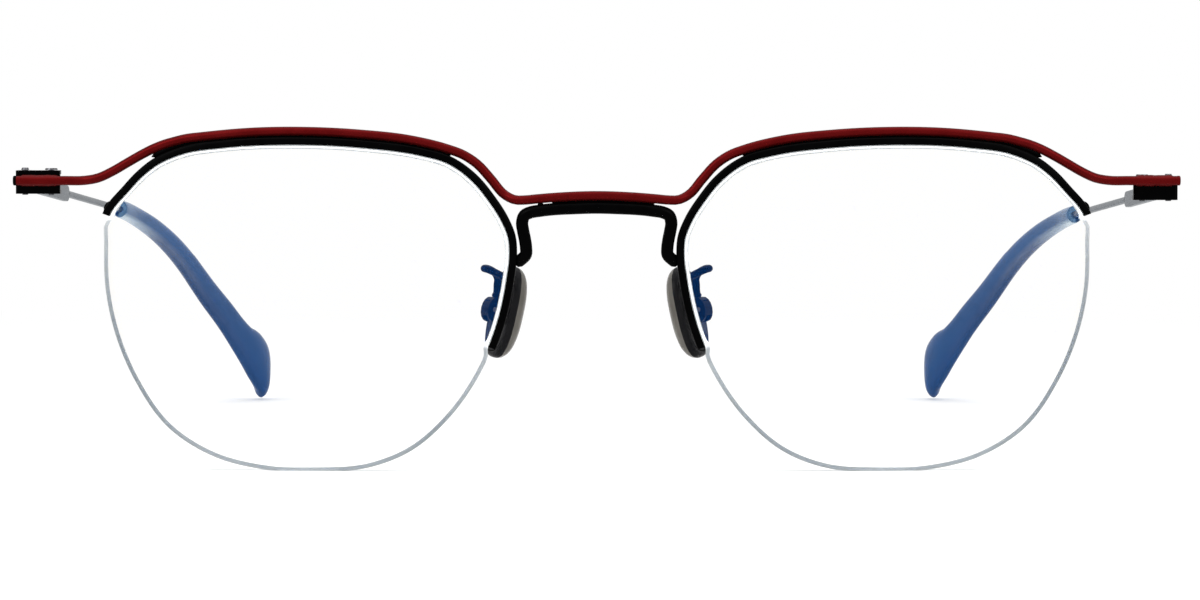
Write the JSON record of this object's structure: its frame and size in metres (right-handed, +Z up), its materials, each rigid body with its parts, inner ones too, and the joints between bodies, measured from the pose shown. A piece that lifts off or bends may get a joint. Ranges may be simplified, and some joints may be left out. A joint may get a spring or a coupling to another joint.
{
  "type": "half-rim eyeglass frame",
  "caption": "Half-rim spectacles: panto-shaped lenses under wire upper rims, a separate brow bar, bent wire bridge, adjustable nose pads and slim folding temples with moulded tips.",
  "frame": {"origin": "on the floor that the lens feet and the temple tips stand on, under the middle of the bounding box", "axes": "+Z up through the frame's height, -Y is the front that faces away from the wearer, +X is the wearer's left"},
  "size_m": [0.1394, 0.1368, 0.0409],
  "materials": {
    "red_enamel": "deep red translucent enamel over metal, semi-gloss",
    "black_enamel": "black enamel over metal wire, gloss",
    "silver_metal": "grey plated alloy, satin",
    "steel": "dark plated screws and pins",
    "clear_lens": "clear coated lens, polished",
    "clear_nylon": "clear nylon cord and liner",
    "slate_acetate": "translucent slate-blue tip, polished",
    "smoke_silicone": "smoky translucent soft pad",
    "black_plastic": "black moulded pad core"
  },
  "bodies": {
    "front": {"brow_bar": "red_enamel", "bridge": "black_enamel", "lens_left": "clear_lens", "lens_right": "clear_lens", "rim_left": "black_enamel", "rim_right": "black_enamel", "rim_liner_left": "clear_nylon", "rim_liner_right": "clear_nylon", "nylon_cord_left": "clear_nylon", "nylon_cord_right": "clear_nylon", "hinge_block_left": "black_enamel", "hinge_block_right": "black_enamel", "hinge_screw_left": "steel", "hinge_screw_right": "steel", "hinge_stop_left": "steel", "hinge_stop_right": "steel", "pad_box_left": "black_enamel", "pad_box_right": "black_enamel", "pad_screw_left": "steel", "pad_screw_right": "steel", "pad_arm_left": "black_enamel", "pad_arm_right": "black_enamel"},
    "temple_left": {"temple_left": "silver_metal", "temple_tip_left": "slate_acetate"},
    "temple_right": {"temple_right": "silver_metal", "temple_tip_right": "slate_acetate"},
    "pad_left": {"nose_pad_left": "smoke_silicone", "pad_insert_left": "black_plastic"},
    "pad_right": {"nose_pad_right": "smoke_silicone", "pad_insert_right": "black_plastic"}
  },
  "joints": [
    {"name": "left_temple_fold", "type": "hinge", "parent": "front", "child": "temple_left", "pos_m": [0.0686, -0.05879, 0.03343], "axis": [0, 0, 1], "range_deg": [0, 80]},
    {"name": "right_temple_fold", "type": "hinge", "parent": "front", "child": "temple_right", "pos_m": [-0.0686, -0.05879, 0.03418], "axis": [0, 0, -1], "range_deg": [0, 74]},
    {"name": "left_pad_rock", "type": "hinge", "parent": "front", "child": "pad_left", "pos_m": [0.01265, -0.06056, 0.01898], "axis": [0.4226, 0.9063, 0], "range_deg": [-8, 8]},
    {"name": "right_pad_rock", "type": "hinge", "parent": "front", "child": "pad_right", "pos_m": [-0.01265, -0.06056, 0.01898], "axis": [0.4226, -0.9063, 0], "range_deg": [-8, 8]}
  ]
}
